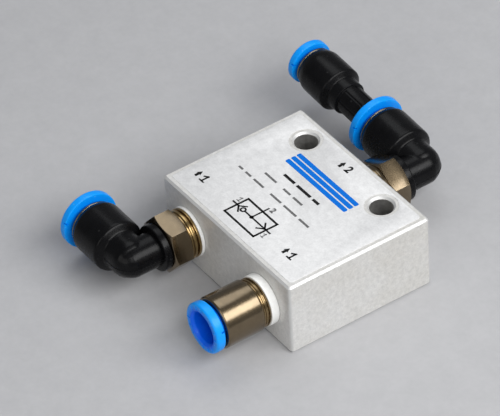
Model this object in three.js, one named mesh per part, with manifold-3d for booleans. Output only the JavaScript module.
// Pneumatic OR valve: a drilled block with a loose shuttle inside, one straight and two
// swivel elbow push-in fittings screwed into its ports, and a plug-in tube reducer.
// Millimetres, +Z up. The origin is the centre of the block's bottom face, the two inlet
// ports look along -Y and the outlet port along +Y.

import * as THREE from 'three';
import { mergeVertices } from 'three/addons/utils/BufferGeometryUtils.js';
import Module from 'manifold-3d';

const wasm = await Module();
wasm.setup();

// ---------------------------------------------------------------- driving dimensions

// Block
const blockLength = 51; // along X
const blockWidth = 40; // along Y
const blockHeight = 20; // along Z
const blockChamfer = 0.5; // around the top, the bottom and the mounting holes
const blockCornerRadius = 0.8; // upright corners
const inletPitch = 30; // between the two inlet ports
const portHeight = 10; // port axes above the base
const portDepth = 9; // threaded holes
const passageRadius = 2.5; // drilled air ways
const mountingPitch = 30;
const mountingFromRear = 6.1; // hole centres, from the rear face
const mountingRadius = 2.9; // for M5 screws

// Printed top label
const labelThickness = 0.1;
const labelMargin = 0.9; // bare metal around the label
const labelHoleMargin = 0.75; // bare metal around the mounting holes

// Shuttle cavity, bored from the left end
const cavityRadius = 5.5;
const seatDepth = 3; // length of each valve seat
const seatBore = 3;
const chamberLength = 10; // between the seats
const farBoreRadius = 3.2; // beyond the right seat
const farBoreRun = 4; // past the right inlet's axis
const shuttleTravel = 1.1; // each way
const shuttleRadius = 3.9;
const shuttleWeb = 1.9; // radius between the two heads
const shuttleHead = 1.3; // thickness of each head
const shuttleFaceRadius = 3.6;
const shuttleFaceThickness = 0.8;
const shuttleFin = 1; // guide fin thickness
const endPlugLength = 5;
const endPlugSocket = 5; // hexagon key, across flats
const endPlugSocketDepth = 2.6;
const sleeveWall = 1.2;

// Threads and seals
const threadRadius = 4.86; // G 1/8
const shankLength = 6.5; // thread below the sealing ring
const sealingRingRadius = 6.4;
const straightSealingRing = 2.2; // thickness
const elbowSealingRing = 1;
const oringSection = 0.6; // radius of an O-ring's section
const swivelOringSection = 0.45;

// Tubes
const tubeRadius = 4;
const reducedTubeRadius = 3;

// Straight fitting
const straightWall = 2.55; // from the tube to the outside of the barrel
const straightRadius = tubeRadius + straightWall;
const shankWall = 0.7; // least metal around a tube socket that reaches into the thread
const straightGroove = 0.7; // depth of the turned neck grooves
const straightNeckEnd = 4.3; // where the plain barrel starts
const straightMouth = 14.3; // barrel end, from the block face

// Elbow fittings
const hexAcross = 13;
const hexStart = 3.6;
const hexEnd = 8.7;
const hexChamfer = 0.55;
const leftHexTurn = 19; // degrees from a corner pointing up, as tightened
const rearHexTurn = 3;
const stemBore = 2.1;
const spigotRadius = 3.4;
const spigotLength = 5.4;
const elbowReach = 16.6; // leg axis, from the block face
const elbowCollarRadius = 5.9;
const elbowCollar = 2; // height of the collar at the hexagon
const elbowUprightWall = 1; // around the spigot
const elbowUprightRadius = spigotRadius + elbowUprightWall;
const elbowNeckRadius = 5; // leg, next to the upright part
const elbowNeckEnd = 5.1; // where the barrel steps up, from the stem axis
const elbowBendRadius = 6.3; // outer corner
const elbowGateRadius = 0.5; // moulding gate left on the outer corner
const elbowGateReach = 4.4; // its end, from where the two axes cross
const elbowWall = 2.75; // from the tube to the outside of the barrel
const elbowBarrelRadius = tubeRadius + elbowWall;
const leftMouth = 15.8; // barrel end, from the stem axis
const rearMouth = 16.1;
const rearLegTilt = 4; // degrees the rear leg points up

// Push-in cartridge: seal, grab ring, sleeve and release ring
const tubeStop = 13.3; // tube stop below the mouth of the straight fitting
const elbowTubeStop = 5.2; // from the stem axis
const sleeveStart = 4.7; // below the mouth
const grabStart = 6.2;
const sealStart = 8.9;
const ringFlange = 2; // release ring
const straightRingFlange = 2.3;
const ringTravel = 0.8;
const rimThickness = 0.6; // metal rim that stands out of a plastic barrel
const straightFlangeRadius = tubeRadius + 2.4;
const elbowFlangeRadius = tubeRadius + 3.4;
const reducerFlangeRadius = reducedTubeRadius + 2.75;
const mouthChamfer = 1.2; // taper of the elbows' barrels at the mouth

// Plug-in reducer, measured along the leg from the elbow's stem axis
const plugBore = 2.2;
const plugGripLength = 12; // full-size end of the plug, held by the elbow
const plugNeckRadius = 3.8;
const reducerCollarStart = 29.2;
const reducerCollarEnd = 32.2;
const reducerCollarRadius = 4.4;
const reducerBarrelStart = 33.2;
const reducerWall = 2.9; // from the small tube to the outside of the barrel
const reducerBarrelRadius = reducedTubeRadius + reducerWall;
const reducerMouth = 43.4;
const reducerTaper = 2.1; // length of the taper at its mouth

// Clearances
const slidingGap = 0.1; // radial, between pieces that slide or turn
const faceGap = 0.1; // between faces that rest on each other
const fitGap = 0.06; // radial, between pieces that are screwed or pressed together

// How finely round pieces are divided
const roundSteps = 20;
const innerSteps = 16;
const holeSteps = 24;
const sectionSteps = 6;

// ---------------------------------------------------------------- materials

const finish = (color, roughness, metalness) =>
  new THREE.MeshStandardMaterial({ color, roughness, metalness });

const materials = {
  anodised: finish('#d9dadc', 0.55, 0.6),
  nickel: finish('#a39a8c', 0.3, 0.9),
  blackPlastic: finish('#141416', 0.5, 0),
  bluePlastic: finish('#1668e0', 0.35, 0),
  whiteSeal: finish('#f2f2f0', 0.5, 0),
  rubber: finish('#1c1c1c', 0.8, 0),
  stainless: finish('#b9bcc0', 0.3, 1),
  brass: finish('#b08d4a', 0.35, 0.9),
  acetal: finish('#e9e6dc', 0.5, 0),
  label: finish('#e4e5e8', 0.6, 0.2),
};

// ---------------------------------------------------------------- shape helpers

const UP = new THREE.Vector3(0, 1, 0);

// A piece turned around Y. The outline lists [radius, along] points anticlockwise and
// closes on itself unless it starts and ends on the axis.
function turned(outline, steps = roundSteps) {
  const points = outline.map(([radius, along]) => new THREE.Vector2(radius, along));
  if (outline[0][0] > 0) points.push(points[0].clone());
  return new THREE.LatheGeometry(points, steps);
}

function ring(inner, outer, from, to, steps) {
  return turned([[inner, from], [outer, from], [outer, to], [inner, to]], steps);
}

function rod(radius, from, to, steps) {
  return turned([[0, from], [radius, from], [radius, to], [0, to]], steps);
}

function oring(centreRadius, along, section, steps) {
  const outline = [];
  for (let i = 0; i < sectionSteps; i++) {
    const angle = (2 * Math.PI * (i + 0.5)) / sectionSteps;
    outline.push([
      centreRadius + section * Math.cos(angle),
      along + section * Math.sin(angle),
    ]);
  }
  return turned(outline, steps);
}

// A six-sided bar along Y, between two heights, with its corners turned down.
function hexagonBar(across, from, to, chamfer) {
  const corner = across / Math.sqrt(3);
  const bar = new THREE.CylinderGeometry(corner, corner, to - from, 6);
  bar.translate(0, (from + to) / 2, 0);
  if (!chamfer) return toSolid(bar);
  const tip = corner - 2 * chamfer;
  const turnedDown = turned([
    [0, from], [tip, from], [corner, from + chamfer],
    [corner, to - chamfer], [tip, to], [0, to],
  ]);
  return toSolid(bar).intersect(toSolid(turnedDown));
}

function toSolid(geometry) {
  const bare = geometry.clone();
  bare.deleteAttribute('normal');
  bare.deleteAttribute('uv');
  const merged = mergeVertices(bare, 1e-5);
  return new wasm.Manifold(new wasm.Mesh({
    numProp: 3,
    vertProperties: new Float32Array(merged.attributes.position.array),
    triVerts: new Uint32Array(merged.index.array),
  }));
}

function toGeometry(solid) {
  const mesh = solid.getMesh();
  const geometry = new THREE.BufferGeometry();
  geometry.setAttribute('position', new THREE.BufferAttribute(mesh.vertProperties, 3));
  geometry.setIndex(new THREE.BufferAttribute(mesh.triVerts, 1));
  geometry.computeVertexNormals();
  return geometry;
}

// Turns a geometry that lies along Y to lie along another direction, then moves it.
function along(geometry, direction, x, y, z) {
  const turn = new THREE.Quaternion().setFromUnitVectors(UP, direction);
  return geometry.applyQuaternion(turn).translate(x, y, z);
}

function cutAll(solid, geometries) {
  return geometries.reduce((left, cutter) => left.subtract(toSolid(cutter)), solid);
}

function add(group, name, geometry, material) {
  const mesh = new THREE.Mesh(geometry, material);
  mesh.name = name;
  group.add(mesh);
  return mesh;
}

function roundedRectangle(length, width, radius) {
  const shape = new THREE.Shape();
  const corners = [[1, 1, 0], [-1, 1, 90], [-1, -1, 180], [1, -1, 270]];
  const points = [];
  for (const [sx, sy, start] of corners) {
    for (const turn of [0, 30, 60, 90]) {
      const angle = THREE.MathUtils.degToRad(start + turn);
      points.push(new THREE.Vector2(
        sx * (length / 2 - radius) + radius * Math.cos(angle),
        sy * (width / 2 - radius) + radius * Math.sin(angle),
      ));
    }
  }
  return shape.setFromPoints(points);
}

function roundHole(x, y, radius) {
  const points = [];
  for (let i = 0; i < holeSteps; i++) {
    const angle = (-2 * Math.PI * i) / holeSteps;
    points.push(new THREE.Vector2(x + radius * Math.cos(angle), y + radius * Math.sin(angle)));
  }
  return new THREE.Path(points);
}

// ---------------------------------------------------------------- block

const inletX = inletPitch / 2;
const faceY = blockWidth / 2;
const mountingY = faceY - mountingFromRear;
const mountingX = mountingPitch / 2;
const seatFace = chamberLength / 2;
const shoulderX = seatFace + seatDepth + faceGap;
const leftEnd = -blockLength / 2;
const plugInnerEnd = leftEnd + endPlugLength;
const X = new THREE.Vector3(1, 0, 0);
const FRONT = new THREE.Vector3(0, -1, 0);
const REAR = new THREE.Vector3(0, 1, 0);

function valveBlock() {
  const outline = roundedRectangle(blockLength, blockWidth, blockCornerRadius);
  for (const side of [-1, 1]) {
    outline.holes.push(roundHole(side * mountingX, mountingY, mountingRadius));
  }
  const body = new THREE.ExtrudeGeometry(outline, {
    depth: blockHeight - 2 * blockChamfer,
    bevelThickness: blockChamfer,
    bevelSize: blockChamfer,
    bevelOffset: -blockChamfer,
    bevelSegments: 1,
  }).translate(0, 0, blockChamfer);

  const portRadius = threadRadius + fitGap;
  const beyond = 1; // cutters start outside the faces
  const port = (x, direction) => [
    along(
      turned([
        [0, -portDepth], [portRadius, -portDepth], [portRadius, 0],
        [portRadius, beyond], [0, beyond],
      ]),
      direction, x, direction.y * faceY, portHeight,
    ),
    along(rod(passageRadius, -faceY, -portDepth + beyond, innerSteps),
      direction, x, direction.y * faceY, portHeight),
  ];
  const cavity = along(
    turned([
      [0, leftEnd - beyond], [cavityRadius, leftEnd - beyond], [cavityRadius, shoulderX],
      [farBoreRadius, shoulderX], [farBoreRadius, inletX + farBoreRun],
      [0, inletX + farBoreRun + farBoreRadius / 2],
    ], innerSteps),
    X, 0, 0, portHeight,
  );
  return toGeometry(cutAll(toSolid(body), [
    cavity, ...port(-inletX, FRONT), ...port(inletX, FRONT), ...port(0, REAR),
  ]));
}

function typeLabel() {
  const outline = roundedRectangle(
    blockLength - 2 * (blockChamfer + labelMargin),
    blockWidth - 2 * (blockChamfer + labelMargin),
    blockCornerRadius,
  );
  for (const side of [-1, 1]) {
    outline.holes.push(roundHole(
      side * mountingX, mountingY, mountingRadius + blockChamfer + labelHoleMargin,
    ));
  }
  return new THREE.ExtrudeGeometry(outline, { depth: labelThickness, bevelEnabled: false })
    .translate(0, 0, blockHeight);
}

// ---------------------------------------------------------------- pieces in the cavity

function valveSeat() {
  const outer = cavityRadius - fitGap;
  const groove = outer - 2 * oringSection;
  const half = seatDepth / 2;
  const edge = oringSection + slidingGap;
  const lip = 0.5; // raised edge that the shuttle's face meets
  return turned([
    [seatBore, -half], [seatBore + lip, -half], [seatBore + 2 * lip, -half + lip],
    [outer, -half + lip], [outer, -edge], [groove, -edge], [groove, edge],
    [outer, edge], [outer, half], [seatBore, half],
  ], innerSteps);
}

function grooveOring() {
  const section = oringSection - slidingGap;
  return oring(cavityRadius - fitGap - oringSection - slidingGap / 2, 0, section, innerSteps);
}

function shuttleBody() {
  const half = chamberLength / 2 - shuttleTravel - shuttleFaceThickness - 2 * faceGap;
  const spool = turned([
    [0, -half], [shuttleRadius, -half], [shuttleRadius, shuttleHead - half],
    [shuttleWeb, shuttleHead - half], [shuttleWeb, half - shuttleHead],
    [shuttleRadius, half - shuttleHead], [shuttleRadius, half], [0, half],
  ], innerSteps);
  const finSpan = 2 * (cavityRadius - slidingGap) - shuttleFin * 0.2;
  const fins = [
    new THREE.BoxGeometry(finSpan, 2 * half, shuttleFin),
    new THREE.BoxGeometry(shuttleFin, 2 * half, finSpan),
  ];
  return toGeometry(fins.reduce((body, fin) => body.add(toSolid(fin)), toSolid(spool)));
}

function spacerSleeve() {
  const outer = cavityRadius - fitGap;
  const half = (-shoulderX - plugInnerEnd) / 2 - faceGap / 2;
  const middle = (-shoulderX + plugInnerEnd) / 2;
  const tube = toSolid(ring(outer - sleeveWall, outer, -half, half, innerSteps));
  const window = along(rod(passageRadius, -cavityRadius - 1, cavityRadius + 1, innerSteps),
    X, 0, -inletX - middle, 0);
  return toGeometry(tube.subtract(toSolid(window)).rotate([0, 90, 0]));
}

function endPlug() {
  const outer = cavityRadius - fitGap;
  const groove = outer - 2 * oringSection;
  const edge = oringSection + slidingGap;
  const grooveAt = -edge - 0.5;
  const body = turned([
    [0, -endPlugLength + 0.3], [outer - 0.4, -endPlugLength + 0.3],
    [outer, -endPlugLength + 0.7], [outer, grooveAt - edge], [groove, grooveAt - edge],
    [groove, grooveAt + edge], [outer, grooveAt + edge], [outer, 0], [0, 0],
  ], innerSteps);
  const key = hexagonBar(endPlugSocket, -endPlugLength - 1,
    -endPlugLength + 0.3 + endPlugSocketDepth, 0);
  return toGeometry(toSolid(body).subtract(key));
}

function cavityPieces() {
  const group = new THREE.Group();
  group.position.set(0, 0, portHeight);
  group.rotation.z = -Math.PI / 2; // the pieces' own Y lies along the block's X
  const seatMiddle = seatFace + seatDepth / 2;
  for (const [side, turn] of [['left', Math.PI], ['right', 0]]) {
    const sign = side === 'left' ? -1 : 1;
    const seat = add(group, `seat_${side}`, valveSeat(), materials.brass);
    seat.position.y = sign * (seatMiddle + faceGap / 2);
    seat.rotation.x = turn;
    const seal = add(group, `seat_oring_${side}`, grooveOring(), materials.rubber);
    seal.position.y = seat.position.y;
    const face = add(group, `shuttle_face_${side}`,
      rod(shuttleFaceRadius, 0, shuttleFaceThickness, innerSteps), materials.rubber);
    face.position.y = sign * (seatFace - shuttleTravel - faceGap);
    face.rotation.x = sign > 0 ? Math.PI : 0;
  }
  add(group, 'shuttle', shuttleBody(), materials.acetal);
  const sleeve = add(group, 'spacer_sleeve', spacerSleeve(), materials.brass);
  sleeve.position.y = (-shoulderX + plugInnerEnd) / 2;
  const plug = add(group, 'end_plug', endPlug(), materials.brass);
  plug.position.y = plugInnerEnd - faceGap;
  const plugSeal = add(group, 'end_plug_oring', grooveOring(), materials.rubber);
  plugSeal.position.y = plug.position.y - oringSection - slidingGap - 0.5;
  return group;
}

// ---------------------------------------------------------------- push-in cartridge

// The hollow in a fitting's body, from its tube stop to its mouth, as a cutter.
function cartridgeHollow(radius, stop, mouth) {
  const socket = radius + slidingGap;
  const sealChamber = radius + 1.3;
  const sleeveChamber = radius + 1.65;
  return turned([
    [0, stop], [socket, stop], [socket, mouth - sealStart],
    [sealChamber, mouth - sealStart], [sealChamber, mouth - grabStart],
    [sleeveChamber, mouth - grabStart], [sleeveChamber, mouth + 1], [0, mouth + 1],
  ]);
}

// Adds the loose pieces of one push-in socket. The group's Y points out of the mouth.
function addCartridge(group, prefix, { radius, mouth, flangeRadius, flange, rimRadius }) {
  const bore = radius + slidingGap;
  const skirt = radius + 0.8;
  const bead = skirt + 0.3;
  const sealOuter = radius + 1.3 - fitGap;
  const sealMiddle = mouth - (sealStart + grabStart) / 2;
  const sealHalf = (sealStart - grabStart) / 2 - faceGap;
  add(group, `${prefix}_tube_seal`, turned([
    [bore + 0.45, sealMiddle - sealHalf], [sealOuter, sealMiddle - sealHalf],
    [sealOuter, sealMiddle + sealHalf], [bore + 0.45, sealMiddle + sealHalf],
    [bore, sealMiddle + sealHalf * 0.5], [bore + 0.3, sealMiddle],
    [bore, sealMiddle - sealHalf * 0.5],
  ]), materials.rubber);

  const sleeveOuter = radius + 1.65 - fitGap;
  const grabTop = mouth - sleeveStart - faceGap;
  const grabSheet = 0.3;
  const toothDrop = 1;
  add(group, `${prefix}_grab_ring`, turned([
    [bore, grabTop - toothDrop - grabSheet], [sleeveOuter - 0.6, grabTop - grabSheet],
    [sleeveOuter, grabTop - grabSheet], [sleeveOuter, grabTop],
    [sleeveOuter - 0.6, grabTop], [bore, grabTop - toothDrop],
  ]), materials.stainless);

  const sleeveInner = skirt + slidingGap;
  const step = mouth - sleeveStart + 2.4;
  const rimTop = mouth + (rimRadius ? faceGap + rimThickness : 0);
  const rim = rimRadius
    ? [[sleeveOuter, mouth + faceGap], [rimRadius, mouth + faceGap], [rimRadius, rimTop]]
    : [[sleeveOuter, rimTop]];
  add(group, `${prefix}_${rimRadius ? 'rim' : 'sleeve'}`, turned([
    [bead + slidingGap, mouth - sleeveStart], [sleeveOuter, mouth - sleeveStart],
    ...rim, [sleeveInner, rimTop], [sleeveInner, step], [bead + slidingGap, step],
  ]), rimRadius ? materials.nickel : materials.blackPlastic);

  const flangeBack = rimTop + ringTravel + slidingGap;
  const ringStart = mouth - sleeveStart + ringTravel - 0.2;
  const edge = 0.35;
  add(group, `${prefix}_release_ring`, turned([
    [bore, ringStart], [skirt, ringStart], [bead, ringStart + edge],
    [bead, step - faceGap], [skirt, step - faceGap], [skirt, flangeBack],
    [flangeRadius, flangeBack], [flangeRadius, flangeBack + flange - edge],
    [flangeRadius - edge, flangeBack + flange], [bore, flangeBack + flange],
  ]), materials.bluePlastic);
}

// ---------------------------------------------------------------- fittings

function addSealingRing(group, prefix, thickness) {
  add(group, `${prefix}_sealing_ring`,
    ring(threadRadius + slidingGap, sealingRingRadius, faceGap, thickness - faceGap),
    materials.whiteSeal);
}

function straightFitting(prefix) {
  const group = new THREE.Group();
  const shoulder = straightSealingRing;
  const low = straightRadius - straightGroove;
  const land = (straightNeckEnd - shoulder) / 5;
  const edge = 0.4;
  const body = turned([
    [0, -shankLength], [threadRadius - edge, -shankLength],
    [threadRadius, edge - shankLength], [threadRadius, shoulder],
    [low + 0.2, shoulder], [low + 0.4, shoulder + land], [low, shoulder + land],
    [low, shoulder + 2 * land], [straightRadius - edge, shoulder + 2 * land],
    [straightRadius - edge, shoulder + 3 * land], [low, shoulder + 3 * land],
    [low, shoulder + 4 * land], [straightRadius - edge, shoulder + 4 * land],
    [straightRadius, straightNeckEnd], [straightRadius, straightMouth - edge],
    [straightRadius - edge, straightMouth], [0, straightMouth],
  ]);
  const bore = rod(stemBore, -shankLength - 1, straightMouth);
  const fitsInShank = tubeRadius + slidingGap + shankWall <= threadRadius;
  const stop = fitsInShank ? straightMouth - tubeStop : shoulder + shankWall;
  const hollow = cartridgeHollow(tubeRadius, stop, straightMouth);
  add(group, `${prefix}_body`, toGeometry(cutAll(toSolid(body), [bore, hollow])),
    materials.nickel);
  addSealingRing(group, prefix, straightSealingRing);
  addCartridge(group, prefix, {
    radius: tubeRadius,
    mouth: straightMouth,
    flangeRadius: straightFlangeRadius,
    flange: straightRingFlange,
  });
  return group;
}

const clipGroove = { from: 0.9, to: 1.5, depth: 0.7 }; // below the spigot's end
const spigotSealAt = 2; // above the hexagon

// Threaded metal stem of an elbow; its Y points out of the block.
function elbowStem(hexTurn) {
  const shoulder = elbowSealingRing;
  const collar = sealingRingRadius - 0.1;
  const land = (hexStart - shoulder) / 3;
  const spigotEnd = hexEnd + spigotLength;
  const sealGroove = spigotRadius - 2 * swivelOringSection + slidingGap;
  const sealEdge = swivelOringSection + slidingGap;
  const edge = 0.4;
  const turnedPart = turned([
    [0, -shankLength], [threadRadius - edge, -shankLength],
    [threadRadius, edge - shankLength], [threadRadius, shoulder], [collar, shoulder],
    [collar, shoulder + land], [collar - 0.8, shoulder + land],
    [collar - 0.8, shoulder + 2 * land], [collar, shoulder + 2 * land],
    [collar, hexEnd - 1], [spigotRadius, hexEnd - 1],
    [spigotRadius, hexEnd + spigotSealAt - sealEdge],
    [sealGroove, hexEnd + spigotSealAt - sealEdge],
    [sealGroove, hexEnd + spigotSealAt + sealEdge],
    [spigotRadius, hexEnd + spigotSealAt + sealEdge],
    [spigotRadius, spigotEnd - clipGroove.to],
    [spigotRadius - clipGroove.depth, spigotEnd - clipGroove.to],
    [spigotRadius - clipGroove.depth, spigotEnd - clipGroove.from],
    [spigotRadius, spigotEnd - clipGroove.from], [spigotRadius, spigotEnd - edge],
    [spigotRadius - edge, spigotEnd], [0, spigotEnd],
  ]);
  const bore = rod(stemBore, -shankLength - 1, spigotEnd + 1);
  // A hexagon's corner starts on the group's +Z; positive turns carry it towards +X.
  const hexagon = hexagonBar(hexAcross, hexStart, hexEnd, hexChamfer);
  return toGeometry(
    toSolid(turnedPart).add(hexagon.rotate([0, hexTurn, 0])).subtract(toSolid(bore)),
  );
}

// Part of an outline: a round corner between a side at radius and an end at height.
function roundCorner(radius, height, fillet) {
  return [0, 30, 60, 90].map((turn) => {
    const angle = THREE.MathUtils.degToRad(turn);
    return [
      radius - fillet * (1 - Math.cos(angle)),
      height - Math.sign(height) * fillet * (1 - Math.sin(angle)),
    ];
  });
}

// The outer corner of an elbow: a quarter of a body turned around the bend's own axis,
// which is level and stands between the upright part and the leg. The leg lies along X.
function elbowBend(side) {
  const section = (elbowUprightRadius + elbowNeckRadius) / 2;
  const centreX = side * (elbowBendRadius - elbowUprightRadius);
  const centreY = elbowReach + elbowNeckRadius - elbowBendRadius;
  const outline = [[0, -section]];
  for (const turn of [-90, -60, -30, 0, 30, 60, 90]) {
    const angle = THREE.MathUtils.degToRad(turn);
    outline.push([
      elbowBendRadius - section * (1 - Math.cos(angle)), section * Math.sin(angle),
    ]);
  }
  outline.push([0, section]);
  const whole = turned(outline, 2 * roundSteps).rotateX(Math.PI / 2);
  const size = 2 * elbowBendRadius;
  const quarter = new THREE.BoxGeometry(size, size, size)
    .translate(-side * elbowBendRadius, elbowBendRadius, 0);
  return toSolid(whole).intersect(toSolid(quarter)).translate([centreX, centreY, 0]);
}

// Moulded elbow: an upright part over the spigot, the bend, and a leg along legDirection.
function elbowBody(side, legDirection, mouth) {
  const base = hexEnd + faceGap;
  const fillet = elbowNeckRadius / 2;
  const upright = turned([
    [0, base], [elbowCollarRadius, base], [elbowCollarRadius, base + elbowCollar],
    [elbowUprightRadius, base + elbowCollar],
    ...roundCorner(elbowUprightRadius, elbowReach + fillet / 2, fillet),
    [0, elbowReach + fillet / 2],
  ]);
  const step = 0.45;
  const neckStart = fillet - 0.5;
  const leg = turned([
    [0, -neckStart], ...roundCorner(elbowNeckRadius, -neckStart, fillet).reverse(),
    [elbowNeckRadius, elbowNeckEnd - step],
    [elbowBarrelRadius, elbowNeckEnd + step], [elbowBarrelRadius, mouth - mouthChamfer],
    [elbowBarrelRadius - mouthChamfer / 2, mouth], [0, mouth],
  ]);
  const cornerDirection = new THREE.Vector3(-side, 1, 0).normalize();
  const gate = along(rod(elbowGateRadius, 0, elbowGateReach, 8), cornerDirection,
    0, elbowReach, 0);
  const spigotEnd = hexEnd + spigotLength;
  const socketBore = rod(spigotRadius + slidingGap, base - 1, spigotEnd + faceGap);
  const airWay = rod(stemBore, spigotEnd, elbowReach);
  const clip = ring(spigotRadius - 1, spigotRadius + 0.6,
    spigotEnd - clipGroove.to - slidingGap, spigotEnd - clipGroove.from + slidingGap);
  const legWay = rod(stemBore, -stemBore, mouth);
  const hollow = cartridgeHollow(tubeRadius, elbowTubeStop, mouth);
  const placed = (geometry) => along(geometry, legDirection, 0, elbowReach, 0);
  const solid = toSolid(upright).add(elbowBend(side)).add(toSolid(placed(leg)))
    .add(toSolid(gate));
  return toGeometry(cutAll(solid, [
    socketBore, airWay, clip, placed(legWay), placed(hollow),
  ]));
}

// side is +1 when the leg points along the fitting's own X, -1 when it points against it.
function elbowFitting(prefix, side, mouth, hexTurn, tilt) {
  const group = new THREE.Group();
  const rise = THREE.MathUtils.degToRad(tilt);
  const legDirection = new THREE.Vector3(side * Math.cos(rise), 0, Math.sin(rise));
  const spigotEnd = hexEnd + spigotLength;
  add(group, `${prefix}_stem`, elbowStem(hexTurn), materials.nickel);
  addSealingRing(group, prefix, elbowSealingRing);
  add(group, `${prefix}_swivel_oring`, oring(
    spigotRadius - swivelOringSection + slidingGap, hexEnd + spigotSealAt,
    swivelOringSection - slidingGap, roundSteps,
  ), materials.rubber);
  add(group, `${prefix}_retaining_clip`, ring(
    spigotRadius - clipGroove.depth + slidingGap, spigotRadius + 0.4,
    spigotEnd - clipGroove.to + slidingGap, spigotEnd - clipGroove.from - slidingGap,
  ), materials.stainless);
  add(group, `${prefix}_elbow`, elbowBody(side, legDirection, mouth), materials.blackPlastic);

  const leg = new THREE.Group();
  leg.position.y = elbowReach;
  leg.quaternion.setFromUnitVectors(UP, legDirection); // its own Y points out of the mouth
  addCartridge(leg, prefix, {
    radius: tubeRadius,
    mouth,
    flangeRadius: elbowFlangeRadius,
    flange: ringFlange,
    rimRadius: elbowBarrelRadius - mouthChamfer / 2 - 0.1,
  });
  group.add(leg);
  return { group, leg };
}

// The reducer's Y points out of its mouth, from the elbow's stem axis.
function addReducer(leg, prefix) {
  const plugEnd = elbowTubeStop + faceGap;
  const edge = 0.5;
  const body = turned([
    [0, plugEnd], [tubeRadius - edge, plugEnd], [tubeRadius, plugEnd + edge],
    [tubeRadius, plugEnd + plugGripLength], [plugNeckRadius, plugEnd + plugGripLength + edge],
    [plugNeckRadius, reducerCollarStart], [reducerCollarRadius, reducerCollarStart],
    [reducerCollarRadius, reducerCollarEnd], [reducerBarrelRadius, reducerBarrelStart],
    [reducerBarrelRadius, reducerMouth - reducerTaper],
    [reducerBarrelRadius - reducerTaper / 3, reducerMouth], [0, reducerMouth],
  ]);
  const bore = rod(plugBore, plugEnd - 1, reducerMouth, innerSteps);
  const hollow = cartridgeHollow(reducedTubeRadius, reducerMouth - tubeStop, reducerMouth);
  add(leg, `${prefix}_body`, toGeometry(cutAll(toSolid(body), [bore, hollow])),
    materials.blackPlastic);
  addCartridge(leg, prefix, {
    radius: reducedTubeRadius,
    mouth: reducerMouth,
    flangeRadius: reducerFlangeRadius,
    flange: ringFlange,
    rimRadius: reducerBarrelRadius - reducerTaper / 3 - 0.1,
  });
}

// ---------------------------------------------------------------- assembly

const valve = new THREE.Group();
valve.name = 'or_valve';
add(valve, 'valve_block', valveBlock(), materials.anodised);
add(valve, 'type_label', typeLabel(), materials.label);
valve.add(cavityPieces());

const straight = straightFitting('straight');
straight.position.set(inletX, -faceY, portHeight);
straight.rotation.z = Math.PI; // out of the front face
valve.add(straight);

const left = elbowFitting('left', 1, leftMouth, leftHexTurn, 0);
left.group.position.set(-inletX, -faceY, portHeight);
left.group.rotation.z = Math.PI;
valve.add(left.group);

const rear = elbowFitting('rear', -1, rearMouth, rearHexTurn, rearLegTilt);
rear.group.position.set(0, faceY, portHeight);
valve.add(rear.group);
addReducer(rear.leg, 'reducer');

export default valve;
